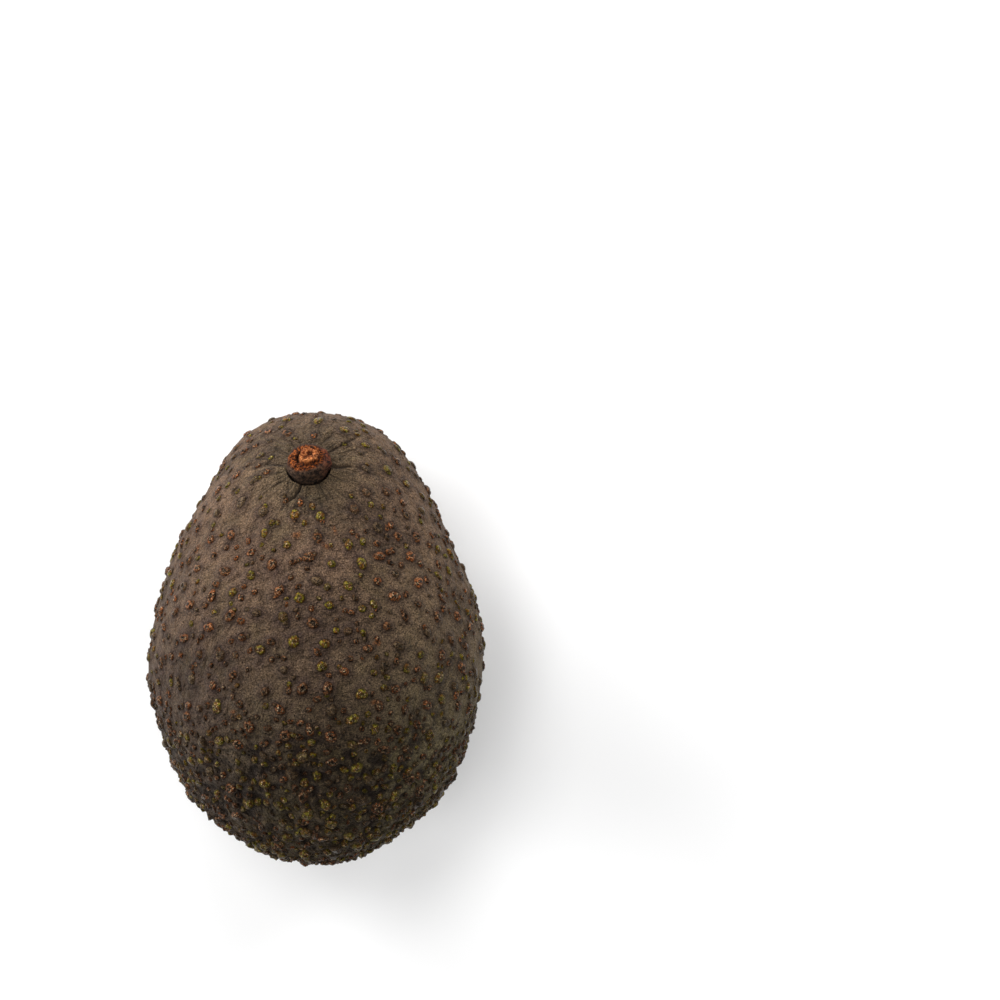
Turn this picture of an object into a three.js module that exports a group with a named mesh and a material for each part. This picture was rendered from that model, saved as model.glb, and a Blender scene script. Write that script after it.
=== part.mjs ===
// A whole avocado with dark, pebbled skin, lying on its side with its stem end raised.
// Millimetres, +Z up. The long axis runs along Y with the stem end towards +Y, and the fruit
// rests at z = 0 on a small flat spot under its weight.
import * as THREE from "three";
import { ConvexHull } from "three/addons/math/ConvexHull.js";

// Fruit body, before the pebbles are raised on it
const LENGTH = 94;
const WIDTH = 69.8;
const HEIGHT = 68.9;
const TAPER = [1, -0.132, -0.185, -0.099, 0.242, 0.27]; // blossom end at -1, stem end at 1
const GIRTH = 0.994; // brings the widest girth of the taper to 1
const STEM_END_LIFT = 3.0; // the neck bends up by this much at its tip
const LEVEL = -0.07; // slope of the long axis that brings the weight over the flat spot
const SPOT_SINK = 0.5; // depth of body taken off where the fruit rests
const SPOT_POINTS = 20;
const CALM_ABOVE_FLOOR = 3; // swells fade out from this height down to the flat spot

// Swells of the whole skin
const SWELL_SEED = 4711;
const SWELL_WAVES = 7;
const SWELL_HEIGHT = 0.11;
const SWELL_LENGTH = [13, 30];

// Pebbles on the skin
const PEBBLE_SEED = 20261;
const PEBBLE_DARTS = 60000;
const PEBBLE_SPACING = [4.15, 5.05]; // blossom end, stem end
const PEBBLE_FOOT = [1.3, 1.7]; // radius of a pebble's foot, smallest and largest
const PEBBLE_TOP = 0.52; // radius of its top as a share of its foot's
const PEBBLE_RISE = [0.4, 0.7];
const FOOT_POINTS = 6;
const TOP_POINTS = 4;
const BARE_ROUND_STEM = 11.2; // no pebble's centre is nearer to the stem's axis
const BARE_ABOVE_FLOOR = 1.3; // nor lower on the body than this
const BARE_ROUND_SCAR = 4.2;

// Stem, its socket, and the folds that run out from it
const STEM_X = -0.95;
const STEM_Y = 35.95;
const STEM_LEAN = THREE.MathUtils.degToRad(40); // from straight up towards the stem end
const SOCKET_RADIUS = 4.95;
const SOCKET_FLOOR_RADIUS = 4.55;
const SOCKET_DEPTH = 2.2;
const SOCKET_LIP = 0.25;
const FOLD_COUNT = 11;
const FOLD_CREST = 0.3; // a crest's rise as a share of its trough's depth
const FOLD_WANDER = 0.06; // radians
const FOLD_RINGS = [
  { radius: 6.3, depth: 0.3 },
  { radius: 8.1, depth: 0.36 },
  { radius: 9.9, depth: 0.22 },
];
const PUCKER_DEPTH = 0.7; // how far the skin sinks round the stem
const PUCKER_RADIUS = 7.5;

// Stem button: [radius, height over the socket's rim] from its foot to the hollow in its top
const STEM_PROFILE = [
  [0, -1.7],
  [3.75, -1.7],
  [4.0, -0.5],
  [4.4, 0.5],
  [4.62, 1.6],
  [4.45, 2.6],
  [4.0, 3.25],
  [3.3, 3.45],
  [2.75, 3.1],
  [2.4, 3.95],
  [1.5, 4.25],
  [0.7, 3.9],
  [0, 3.7],
];
const STEM_SIDES = 32;
const STEM_SMOOTH = [0, 2.5]; // its ridges begin and reach their full height at these heights
const STEM_MIDDLE = 3; // nearer to its axis than this they flatten
const STEM_RIDGES = [
  { waves: 3, radius: 0.05, height: 0.1, turn: 0.6 },
  { waves: 7, radius: 0.03, height: 0.12, turn: 2.1 },
  { waves: 13, radius: 0.02, height: 0.09, turn: 4.4 },
];

// Scar of the flower at the other end
const SCAR_TURN = THREE.MathUtils.degToRad(-12); // below the long axis
const SCAR_RINGS = [
  { radius: 0.9, rise: 0.1 },
  { radius: 1.9, rise: 0.45 },
  { radius: 3.0, rise: -0.35 },
];
const SCAR_SIDES = 9;
const SCAR_TWIST = 0.35; // radians from ring to ring

const SKIN = { color: 0x4b3e34, roughness: 0.72, metalness: 0 };
const STEM = { color: 0x9a5a30, roughness: 0.85, metalness: 0 };

// The minimal standard generator, so that every run draws the same numbers.
function drawsFrom(seed) {
  let state = seed;
  return () => {
    state = (state * 16807) % 2147483647;
    return state / 2147483647;
  };
}

const mix = (low, high, share) => low + (high - low) * share;
const polynomial = (terms, s) => terms.reduceRight((sum, term) => sum * s + term, 0);
const slopeOf = (terms) => terms.slice(1).map((term, i) => term * (i + 1));
const TAPER_SLOPE = slopeOf(TAPER);

const girthAt = (s) => GIRTH * polynomial(TAPER, s);
const bendAt = (s) => STEM_END_LIFT * ((1 + s) / 2) ** 3 + LEVEL * s * (LENGTH / 2);
const bendSlopeAt = (s) => (3 / 2) * STEM_END_LIFT * ((1 + s) / 2) ** 2 + LEVEL * (LENGTH / 2);

// Height of the underside over its own axis at a point of the plan, and NaN outside the plan.
function undersideAt(x, y) {
  const s = (2 * y) / LENGTH;
  const girth = girthAt(s);
  const across = (2 * x) / (WIDTH * girth);
  return bendAt(s) - (HEIGHT / 2) * girth * Math.sqrt(1 - s * s - across * across);
}

// The lowest point of the underside lies on x = 0.
function lowestUnderside() {
  let best = { y: 0, z: Infinity };
  for (let y = -LENGTH / 4; y <= LENGTH / 4; y += 0.05) {
    const z = undersideAt(0, y);
    if (z < best.z) best = { y, z };
  }
  return best;
}

const LOWEST = lowestUnderside();
const AXIS_Z = -LOWEST.z - SPOT_SINK; // puts the flat spot at z = 0

// A point of the smooth body for a direction on the unit sphere.
function bodyPoint(u) {
  const girth = girthAt(u.y);
  return new THREE.Vector3(
    (WIDTH / 2) * girth * u.x,
    (LENGTH / 2) * u.y,
    AXIS_Z + bendAt(u.y) + (HEIGHT / 2) * girth * u.z,
  );
}

// The direction whose body point is at p, or next to it where p is a little off the body.
function directionOf(p) {
  const s = (2 * p.y) / LENGTH;
  const girth = girthAt(THREE.MathUtils.clamp(s, -1, 1));
  const across = (2 * p.x) / (WIDTH * girth);
  const up = (2 * (p.z - AXIS_Z - bendAt(s))) / (HEIGHT * girth);
  return new THREE.Vector3(across, s, up).normalize();
}

// Outward normal of the smooth body, from the gradient of its formula.
function bodyNormal(u) {
  const girth = girthAt(u.y);
  const narrowing = (GIRTH * polynomial(TAPER_SLOPE, u.y)) / girth;
  const round = u.x * u.x + u.z * u.z;
  const rise = (2 * u.z * bendSlopeAt(u.y)) / (HEIGHT * girth);
  return new THREE.Vector3(
    (2 * u.x) / (WIDTH * girth),
    (2 / LENGTH) * (u.y - round * narrowing - rise),
    (2 * u.z) / (HEIGHT * girth),
  ).normalize();
}

// Slow swells of the skin: a sum of plane waves in seeded directions.
function makeSwell() {
  const draw = drawsFrom(SWELL_SEED);
  const waves = Array.from({ length: SWELL_WAVES }, () => {
    const direction = randomDirection(draw);
    const number = (2 * Math.PI) / mix(...SWELL_LENGTH, draw());
    return { direction: direction.multiplyScalar(number), phase: 2 * Math.PI * draw() };
  });
  return (p) =>
    SWELL_HEIGHT * waves.reduce((sum, w) => sum + Math.sin(w.direction.dot(p) + w.phase), 0);
}

function randomDirection(draw) {
  const y = 1 - 2 * draw();
  const turn = 2 * Math.PI * draw();
  const ring = Math.sqrt(1 - y * y);
  return new THREE.Vector3(ring * Math.cos(turn), y, ring * Math.sin(turn));
}

const swellAt = makeSwell();

// The stem's own frame: where its axis meets the body, and the two directions across it.
const STEM_AXIS = new THREE.Vector3(0, Math.sin(STEM_LEAN), Math.cos(STEM_LEAN));
const STEM_SIDE = new THREE.Vector3(1, 0, 0);
const STEM_ACROSS = new THREE.Vector3().crossVectors(STEM_AXIS, STEM_SIDE);
const STEM_FOOT = stemFoot();

function stemFoot() {
  const s = (2 * STEM_Y) / LENGTH;
  const across = (2 * STEM_X) / (WIDTH * girthAt(s));
  return bodyPoint(new THREE.Vector3(across, s, Math.sqrt(1 - s * s - across * across)));
}

// The point of the body straight along an axis from a point beside it.
function ontoBody(start, axis) {
  const p = start.clone();
  for (let step = 0; step < 8; step++) {
    const u = directionOf(p);
    const gap = bodyPoint(u).sub(p);
    const normal = bodyNormal(u);
    p.addScaledVector(axis, gap.dot(normal) / axis.dot(normal));
  }
  return p;
}

// Distance from the stem's axis. The axis also leaves the body far below, which doesn't count.
function distanceFromStem(p) {
  const offset = p.clone().sub(STEM_FOOT);
  const below = offset.dot(STEM_AXIS) < -LENGTH / 3;
  return below ? Infinity : offset.cross(STEM_AXIS).length();
}

function pucker(p) {
  const away = distanceFromStem(p) / PUCKER_RADIUS;
  return -PUCKER_DEPTH * Math.exp(-away * away);
}

// Swell and pucker die away towards the flat spot.
function groundHeight(p) {
  const clear = THREE.MathUtils.smoothstep(p.z, 0, CALM_ABOVE_FLOOR);
  return clear * (swellAt(p) + pucker(p));
}

// Every vertex of the skin: a direction that places it in the net, and its place in space.
const skin = [];

function addSkin(direction, rise) {
  const base = bodyPoint(direction);
  const place = base.clone().addScaledVector(bodyNormal(direction), groundHeight(base) + rise);
  place.z = Math.max(place.z, 0);
  skin.push({ direction, place });
}

function addFlatSpot() {
  for (let i = 0; i < SPOT_POINTS; i++) {
    const turn = (2 * Math.PI * i) / SPOT_POINTS;
    let [inside, outside] = [0, LENGTH / 4];
    for (let halving = 0; halving < 40; halving++) {
      const reach = (inside + outside) / 2;
      const z = undersideAt(reach * Math.cos(turn), LOWEST.y + reach * Math.sin(turn)) + AXIS_Z;
      if (z < 0) inside = reach;
      else outside = reach;
    }
    const place = new THREE.Vector3(
      inside * Math.cos(turn),
      LOWEST.y + inside * Math.sin(turn),
      0,
    );
    skin.push({ direction: directionOf(place), place });
  }
}

function aroundStem(radius, turn) {
  return STEM_FOOT.clone()
    .addScaledVector(STEM_SIDE, radius * Math.cos(turn))
    .addScaledVector(STEM_ACROSS, radius * Math.sin(turn));
}

// The level of the socket's rim along the stem's axis, from the stem's foot.
const RIM_LEVEL = -PUCKER_DEPTH;

function addSocket() {
  const sides = 2 * FOLD_COUNT;
  const floor = RIM_LEVEL - SOCKET_DEPTH;
  const middle = STEM_FOOT.clone().addScaledVector(STEM_AXIS, floor);
  skin.push({ direction: directionOf(ontoBody(STEM_FOOT, STEM_AXIS)), place: middle });
  for (let i = 0; i < sides; i++) {
    const turn = (2 * Math.PI * i) / sides;
    const onFloor = aroundStem(SOCKET_FLOOR_RADIUS, turn);
    const foot = ontoBody(onFloor, STEM_AXIS);
    const place = onFloor.addScaledVector(STEM_AXIS, floor);
    skin.push({ direction: directionOf(foot), place });
    addSkin(directionOf(ontoBody(aroundStem(SOCKET_RADIUS, turn), STEM_AXIS)), SOCKET_LIP);
  }
}

// Folds radiate from the socket: each ring has crests and troughs by turns.
function addFolds() {
  const sides = 2 * FOLD_COUNT;
  FOLD_RINGS.forEach(({ radius, depth }, ring) => {
    for (let i = 0; i < sides; i++) {
      const turn = (2 * Math.PI * i) / sides + FOLD_WANDER * Math.sin(5 * i + ring);
      const share = i % 2 ? FOLD_CREST : -1;
      const place = ontoBody(aroundStem(radius, turn), STEM_AXIS);
      addSkin(directionOf(place), share * depth);
    }
  });
}

const SCAR_CENTRE = new THREE.Vector3(0, -Math.cos(SCAR_TURN), Math.sin(SCAR_TURN));

function acrossFrame(normal) {
  const side = new THREE.Vector3(0, 0, 1).cross(normal);
  if (side.lengthSq() < 1e-6) side.set(1, 0, 0);
  side.normalize();
  return [side, new THREE.Vector3().crossVectors(normal, side)];
}

// A ring of directions round a direction, a set distance away on the body.
function ringAround(centre, radius, count, turned) {
  const middle = bodyPoint(centre);
  const [side, across] = acrossFrame(bodyNormal(centre));
  return Array.from({ length: count }, (_, i) => {
    const turn = turned + (2 * Math.PI * i) / count;
    const p = middle
      .clone()
      .addScaledVector(side, radius * Math.cos(turn))
      .addScaledVector(across, radius * Math.sin(turn));
    return directionOf(p);
  });
}

function addScar() {
  addSkin(SCAR_CENTRE, 0);
  SCAR_RINGS.forEach(({ radius, rise }, ring) => {
    const turned = ring * SCAR_TWIST;
    ringAround(SCAR_CENTRE, radius, SCAR_SIDES, turned).forEach((u) => addSkin(u, rise));
  });
}

// Pebbles are darts thrown at the body that keep their distance from those already there.
function throwPebbles() {
  const draw = drawsFrom(PEBBLE_SEED);
  const scar = bodyPoint(SCAR_CENTRE);
  const pebbles = [];
  for (let dart = 0; dart < PEBBLE_DARTS; dart++) {
    const direction = randomDirection(draw);
    const [size, turned] = [draw(), draw()];
    const p = bodyPoint(direction);
    const spacing = mix(...PEBBLE_SPACING, (1 + direction.y) / 2);
    const bare =
      p.z < BARE_ABOVE_FLOOR ||
      distanceFromStem(p) < BARE_ROUND_STEM ||
      p.distanceTo(scar) < BARE_ROUND_SCAR;
    if (bare || pebbles.some((other) => other.p.distanceTo(p) < spacing)) continue;
    pebbles.push({ direction, p, size, turned });
  }
  return pebbles;
}

// A pebble is a low blunt cone: a ring of points at its top, and a wider one at its foot.
function addPebble({ direction, size, turned }) {
  const foot = mix(...PEBBLE_FOOT, size);
  const rise = mix(...PEBBLE_RISE, size);
  const turn = 2 * Math.PI * turned;
  ringAround(direction, foot * PEBBLE_TOP, TOP_POINTS, turn).forEach((u) => addSkin(u, rise));
  ringAround(direction, foot, FOOT_POINTS, turn).forEach((u) => addSkin(u, 0));
}

// The net over the skin is the convex hull of the vertices' directions on the unit sphere.
function netOver(vertices) {
  const points = vertices.map(({ direction }) => direction.clone());
  const order = new Map(points.map((point, i) => [point, i]));
  const corners = [];
  for (const face of new ConvexHull().setFromPoints(points).faces) {
    let edge = face.edge;
    do {
      corners.push(order.get(edge.head().point));
      edge = edge.next;
    } while (edge !== face.edge);
  }
  return corners;
}

function fruitGeometry() {
  addFlatSpot();
  addSocket();
  addFolds();
  addScar();
  throwPebbles().forEach(addPebble);
  const geometry = new THREE.BufferGeometry();
  geometry.setFromPoints(skin.map(({ place }) => place));
  geometry.setIndex(netOver(skin));
  geometry.computeVertexNormals();
  return geometry;
}

// A turned profile, roughened by ridges that close on themselves round the stem.
function stemGeometry() {
  const profile = STEM_PROFILE.map(([radius, height]) => new THREE.Vector2(radius, height));
  const geometry = new THREE.LatheGeometry(profile, STEM_SIDES);
  const place = geometry.getAttribute("position");
  for (let i = 0; i < place.count; i++) {
    const [x, y, z] = [place.getX(i), place.getY(i), place.getZ(i)];
    const turn = Math.atan2(z, x);
    const radius = Math.hypot(x, z);
    const free = THREE.MathUtils.smoothstep(y, ...STEM_SMOOTH);
    const rough = STEM_RIDGES.reduce(
      (sum, ridge) => {
        const wave = Math.sin(ridge.waves * turn + ridge.turn + y);
        return { out: sum.out + ridge.radius * wave, up: sum.up + ridge.height * wave };
      },
      { out: 0, up: 0 },
    );
    const scale = 1 + free * rough.out;
    const edge = Math.min(radius / STEM_MIDDLE, 1);
    place.setXYZ(i, x * scale, y + free * edge * rough.up, z * scale);
  }
  geometry.computeVertexNormals();
  return geometry;
}

function makeFruit() {
  const fruit = new THREE.Mesh(fruitGeometry(), new THREE.MeshStandardMaterial(SKIN));
  fruit.name = "fruit";
  return fruit;
}

function makeStemButton() {
  const button = new THREE.Mesh(stemGeometry(), new THREE.MeshStandardMaterial(STEM));
  button.name = "stem_button";
  button.quaternion.setFromUnitVectors(new THREE.Vector3(0, 1, 0), STEM_AXIS);
  button.position.copy(STEM_FOOT).addScaledVector(STEM_AXIS, RIM_LEVEL);
  return button;
}

const avocado = new THREE.Group();
avocado.add(makeFruit(), makeStemButton());

export default avocado;
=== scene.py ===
import math

import bmesh
import bpy
import numpy as np
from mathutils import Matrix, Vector, kdtree, noise
from numpy.polynomial.polynomial import polyder, polyval


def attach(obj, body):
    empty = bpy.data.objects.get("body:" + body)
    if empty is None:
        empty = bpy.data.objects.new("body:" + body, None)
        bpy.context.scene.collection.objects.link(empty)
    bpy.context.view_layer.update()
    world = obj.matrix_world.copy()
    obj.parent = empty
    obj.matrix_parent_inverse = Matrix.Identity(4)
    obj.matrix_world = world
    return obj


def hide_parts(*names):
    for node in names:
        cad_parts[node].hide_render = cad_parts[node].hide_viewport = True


# A whole avocado with dark, pebbled skin, lying on its side with its stem end raised.
# Shapes are worked out in millimetres in the frame's axes, and meshes are stored in metres.
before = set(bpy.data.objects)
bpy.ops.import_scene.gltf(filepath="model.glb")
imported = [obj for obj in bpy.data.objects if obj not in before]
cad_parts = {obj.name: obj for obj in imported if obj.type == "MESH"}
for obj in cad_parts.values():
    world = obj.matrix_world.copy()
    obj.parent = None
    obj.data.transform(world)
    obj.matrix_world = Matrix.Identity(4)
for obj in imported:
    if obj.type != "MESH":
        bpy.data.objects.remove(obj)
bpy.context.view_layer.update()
MM = 0.001

# Camera, straight above, with the fruit where the photograph has it
PHOTO_SIDE = 1000
PHOTO_SCALE = 0.2106  # millimetres for each pixel at the height of the fruit's outline
PHOTO_FRUIT = (316, 636.5)  # pixel of the middle of the fruit's outline
LENS = 200
SENSOR = 36

# Fruit body, as the solid has it
LENGTH = 94
WIDTH = 69.8
HEIGHT = 68.9
TAPER = [1, -0.132, -0.185, -0.099, 0.242, 0.27]  # blossom end at -1, stem end at 1
GIRTH = 0.994
STEM_END_LIFT = 3.0
LEVEL = -0.07
SPOT_SINK = 0.5
SPOT_SEARCH_STEP = 0.05
CALM_ABOVE_FLOOR = 3

# Net of the skin: how many quads lie along each side of the cube it starts from
NET = (116, 156, 116)

# Swells of the whole skin, as the solid has them
SWELL_SEED = 4711
SWELL_WAVES = 7
SWELL_HEIGHT = 0.11
SWELL_LENGTH = (13, 30)

# Large pebbles, thrown as the solid's are
PEBBLE_SEED = 20261
PEBBLE_DARTS = 60000
PEBBLE_SPACING = (4.15, 5.05)  # blossom end, stem end
BARE_ROUND_STEM = 11.2
BARE_ABOVE_FLOOR = 1.3
BARE_ROUND_SCAR = 4.2

# Small pebbles between them
FINE_SEED = 90817
FINE_DARTS = 60000
FINE_SPACING = (1.65, 2.9)
FINE_ROUND_STEM = 8.6
CLUSTER_SIZE = 6.5  # of the patches that have more or fewer of them
TWIN_SHARE = 0.2  # of all pebbles, those with a smaller one grown against them
TWIN_AWAY = 1.3
TWIN_SIZE = 0.5  # as a share of the first one's

# Sizes of the pebbles, from the smallest to the largest of each kind
LARGE_RADIUS = (0.9, 1.34)
SMALL_RADIUS = (0.46, 0.9)
LARGE_RISE = (0.38, 0.58)
SMALL_RISE = (0.22, 0.46)
LARGE_SKIRT = 0.14
SMALL_SKIRT = 0.06
LONGEST_STRETCH = 1.5
TURNED_BY_STEM = 20  # distance from the stem within which the angle round it turns a pebble
OLIVE_SHARE = (0.08, 0.8)  # of the pebbles, where fewest and where most are olive
PITTED_SHARE = 0.45
FAINT_PIT = 0.15  # depth of the other pebbles' pits, as a share of a full one

# Stem and its socket, as the solid has them
STEM_X = -0.95
STEM_Y = 35.95
STEM_LEAN = math.radians(40)
SOCKET_RIM = 4.75
SOCKET_FLOOR = 4.45
SOCKET_DEPTH = 2.2
PUCKER_DEPTH = 0.7
PUCKER_RADIUS = 7.5

# Scar of the flower at the other end: rise over the skin at distances from its middle
SCAR_TURN = math.radians(-12)
SCAR_REACH = (0, 0.9, 1.9, 3.0, 4.2)
SCAR_RISE = (0, 0.1, 0.45, -0.35, 0)


def unit(vectors):
    return vectors / np.linalg.norm(vectors, axis=-1, keepdims=True)


def smooth(values, start, end):
    """0 before start and 1 after end, or the other way round where start is the larger."""
    share = np.clip((values - start) / (end - start), 0, 1)
    return share * share * (3 - 2 * share)


def between(pair, share):
    return pair[0] + (pair[1] - pair[0]) * share


def bell(away, width):
    """1 at no distance, dying away over a width on both sides."""
    return np.exp(-((away / width) ** 2))


def drawn_again(draws, factor):
    """Further draws from 0 to 1, worked out from those at hand."""
    return (draws * factor) % 1


def draws_from(seed):
    """Draws from 0 to 1 by the minimal standard generator, as the solid's are."""
    factor, modulus = 16807, 2**31 - 1
    state = seed
    while True:
        state = state * factor % modulus
        yield state / modulus


def sphere_direction(level, turn):
    """Unit directions for two draws from 0 to 1."""
    y = 1 - 2 * level
    ring = np.sqrt(1 - y * y)
    angle = 2 * math.pi * turn
    return np.stack([ring * np.cos(angle), y, ring * np.sin(angle)], axis=-1)


def girth_at(s):
    return GIRTH * polyval(s, TAPER)


def bend_at(s):
    return STEM_END_LIFT * ((1 + s) / 2) ** 3 + LEVEL * s * LENGTH / 2


def bend_slope_at(s):
    return 1.5 * STEM_END_LIFT * ((1 + s) / 2) ** 2 + LEVEL * LENGTH / 2


def half_height(x, y):
    """Half the body's height over a point of its plan, and the level of its middle."""
    s = 2 * y / LENGTH
    girth = girth_at(s)
    across = 2 * x / (WIDTH * girth)
    return HEIGHT / 2 * girth * np.sqrt(np.maximum(1 - s * s - across * across, 0)), bend_at(s)


def axis_level():
    """Height of the body's axis that leaves the flat spot at z = 0."""
    half, middle = half_height(0, np.arange(-LENGTH / 4, LENGTH / 4, SPOT_SEARCH_STEP))
    return -np.min(middle - half) - SPOT_SINK


AXIS_Z = axis_level()


def body_points(directions):
    """Points of the smooth body for directions on the unit sphere."""
    s = directions[..., 1]
    girth = girth_at(s)
    return np.stack(
        [
            WIDTH / 2 * girth * directions[..., 0],
            LENGTH / 2 * s,
            AXIS_Z + bend_at(s) + HEIGHT / 2 * girth * directions[..., 2],
        ],
        axis=-1,
    )


def directions_of(points):
    """Directions whose body points are at, or next to, the points given."""
    s = 2 * points[..., 1] / LENGTH
    girth = girth_at(np.clip(s, -1, 1))
    across = 2 * points[..., 0] / (WIDTH * girth)
    up = 2 * (points[..., 2] - AXIS_Z - bend_at(s)) / (HEIGHT * girth)
    return unit(np.stack([across, s, up], axis=-1))


def body_normals(directions):
    s = directions[..., 1]
    girth = girth_at(s)
    narrowing = GIRTH * polyval(s, polyder(TAPER)) / girth
    roundness = directions[..., 0] ** 2 + directions[..., 2] ** 2
    rise = 2 * directions[..., 2] * bend_slope_at(s) / (HEIGHT * girth)
    return unit(
        np.stack(
            [
                2 * directions[..., 0] / (WIDTH * girth),
                2 / LENGTH * (s - roundness * narrowing - rise),
                2 * directions[..., 2] / (HEIGHT * girth),
            ],
            axis=-1,
        )
    )


def tangents(normals):
    """Two directions along the skin at each normal, square to each other."""
    side = unit(np.cross([0.0, 0.0, 1.0], normals))
    return side, np.cross(normals, side)


def swell_waves():
    draw = draws_from(SWELL_SEED)
    waves = []
    for _ in range(SWELL_WAVES):
        direction = sphere_direction(next(draw), next(draw))
        number = 2 * math.pi / between(SWELL_LENGTH, next(draw))
        waves.append((direction * number, 2 * math.pi * next(draw)))
    return waves


def swell_at(points):
    return SWELL_HEIGHT * sum(np.sin(points @ wave + phase) for wave, phase in swell_waves())


# The stem's own frame
STEM_AXIS = np.array([0, math.sin(STEM_LEAN), math.cos(STEM_LEAN)])
STEM_SIDE = np.array([1.0, 0, 0])
STEM_ACROSS = np.cross(STEM_AXIS, STEM_SIDE)


def upper_point(x, y):
    """The point on top of the body over a point of its plan."""
    half, middle = half_height(x, y)
    return np.array([x, y, AXIS_Z + middle + half])


STEM_FOOT = upper_point(STEM_X, STEM_Y)


def round_stem(points):
    """Distance from the stem's axis and angle round it. The far side of the fruit is out of reach."""
    offset = points - STEM_FOOT
    x = offset @ STEM_SIDE
    y = offset @ STEM_ACROSS
    below = offset @ STEM_AXIS < -LENGTH / 3
    return np.where(below, np.inf, np.hypot(x, y)), np.arctan2(y, x)


SCAR = body_points(np.array([0, -math.cos(SCAR_TURN), math.sin(SCAR_TURN)]))


def throw_pebbles(seed, darts, spacing, bare_radius, others):
    """Darts on the body that keep their distance from each other and from the others."""
    draw = draws_from(seed)
    level, turn, size, turned = np.array([next(draw) for _ in range(4 * darts)]).reshape(-1, 4).T
    directions = sphere_direction(level, turn)
    points = body_points(directions)
    gaps = between(spacing, (1 + directions[:, 1]) / 2)
    clear = (points[:, 2] >= BARE_ABOVE_FLOOR) & (round_stem(points)[0] >= bare_radius)
    clear &= np.linalg.norm(points - SCAR, axis=1) >= BARE_ROUND_SCAR
    kept = np.full((len(others) + darts, 3), np.inf)
    kept[: len(others)] = others
    count = len(others)
    chosen = []
    for i in np.flatnonzero(clear):
        if np.min(np.sum((kept[: count + 1] - points[i]) ** 2, axis=1)) >= gaps[i] ** 2:
            kept[count] = points[i]
            count += 1
            chosen.append(i)
    return points[chosen], size[chosen], turned[chosen]


# Camera place and the points of the body that it sees
SEEN_ROUNDS = 12  # each starts from the height that the last one found
CAMERA_RISE = PHOTO_SCALE * PHOTO_SIDE * LENS / SENSOR  # over the level of the fruit's outline
CAMERA = np.array(
    [
        (PHOTO_SIDE / 2 - PHOTO_FRUIT[0]) * PHOTO_SCALE,
        (PHOTO_FRUIT[1] - PHOTO_SIDE / 2) * PHOTO_SCALE,
        CAMERA_RISE + HEIGHT / 2,
    ]
)


def seen_at(pixel):
    """The point of the smooth body that the camera sees at a pixel of the photograph."""
    way = np.array([pixel[0] - PHOTO_SIDE / 2, PHOTO_SIDE / 2 - pixel[1], 0]) * PHOTO_SCALE
    way = way / CAMERA_RISE + np.array([0, 0, -1])
    point = CAMERA + way * CAMERA_RISE
    for _ in range(SEEN_ROUNDS):
        point = CAMERA + way * (CAMERA[2] - upper_point(point[0], point[1])[2])
    return point


# Cracks of the skin round the stem: each one's course, in pixels of the photograph
CRACKS = (
    ((301, 484), (299, 490), (294, 497), (287, 502), (280, 505)),
    ((330, 465), (337, 467), (350, 466), (361, 470)),
    ((328, 452), (339, 446), (350, 441), (362, 436)),
    ((321, 442), (329, 436), (337, 431)),
    ((284, 465), (272, 464), (258, 465)),
    ((295, 446), (288, 437)),
)
CRACK_DEPTH = (0.55, 0.45, 0.4, 0.3, 0.22, 0.22)
CRACK_WIDTH = 0.22
CRACK_WANDER = 0.12
CRACK_FADES_FROM = 0.55  # of the way along it
BANK_HEIGHT = 0.3  # of a crack's raised edges, as a share of its depth
BANK_AWAY = 1.0
BANK_WIDTH = 0.8

# Radiating folds round the stem
FOLD_SEED = 3307
MAIN_FOLDS = 11  # as the solid has them
MAIN_FOLD_REACH = (8.5, 13.5)
MAIN_FOLD_DEPTH = 0.1
MAIN_FOLD_WIDTH = 0.4
FINE_FOLDS = 34
FINE_FOLD_REACH = (6.5, 15)
FINE_FOLD_DEPTH = (0.04, 0.14)
FINE_FOLD_WIDTH = 0.17
FOLD_CURL = 0.05
FOLD_START = 0.6  # width at the stem's axis, as a share of the fold's own
FOLD_WIDENING = 12  # distance outwards over which a fold grows by its own width
FOLD_FADE = 0.45  # of a fold's length, after which it dies away
# Painted shade in the folds deepens with their depth
FOLD_FULL_SHADE_DEPTH = 0.6  # of a fold that would be as dark as a crack

# Corky scabs on the skin: pixel of the photograph, half length, half width, and turn in degrees
SCABS = (
    ((197, 549), 1.3, 0.4, 65),
    ((335, 530), 1.2, 0.35, 110),
    ((297, 535), 1.0, 0.7, 20),
    ((377, 643), 0.8, 0.7, 0),
    ((373, 702), 0.6, 0.4, 40),
    ((233, 712), 0.7, 0.4, 15),
    ((326, 546), 0.9, 0.5, 150),
)
SCAB_HEIGHT = 0.12
SCAB_RAGGED = 0.35
SCAB_EDGE = (1.3, 0.7)  # in half lengths and half widths, from none to full
SCAB_UP = 4  # millimetres up or down that count as one half length

# Parts of the skin: where each sets in and where it is full
CROWDED_ZONE = (-5, -35)  # along the fruit, with pebbles that are large and close
RUGGED_ZONE = (-6, -36)  # along the fruit, with ridges between the pebbles
BARE_ZONE = (10, 22)  # from the stem outwards
FAINT_ZONE = (26, 10)  # towards the stem, with low and dull pebbles
SCAR_STAIN = (4.4, 2.2)  # towards the middle of the flower's scar

# Relief of the bare skin: height, size of the lumps and seed of each layer of noise
BROAD_LUMPS = (0.1, 9, 1)
LUMPS = (0.06, 4.4, 2)
SLANTED_LUMPS = (0.14, 1.1, 3)
SMALL_LUMPS = (0.08, 2.3, 7)
GRAIN = (0.12, 1.3, 6)
RUGGED_GRAIN = (0.24, 1.6, 8)
RIDGES = (0.7, 2.6, 4)
SLANT = np.array([[0.35, 0.13, 0.0], [-0.35, 0.13, 0.0], [0.0, 0.0, 0.3]])  # draws lumps out aslant
LIP_HEIGHT = 0.28
LIP_WIDTH = 0.7


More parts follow.
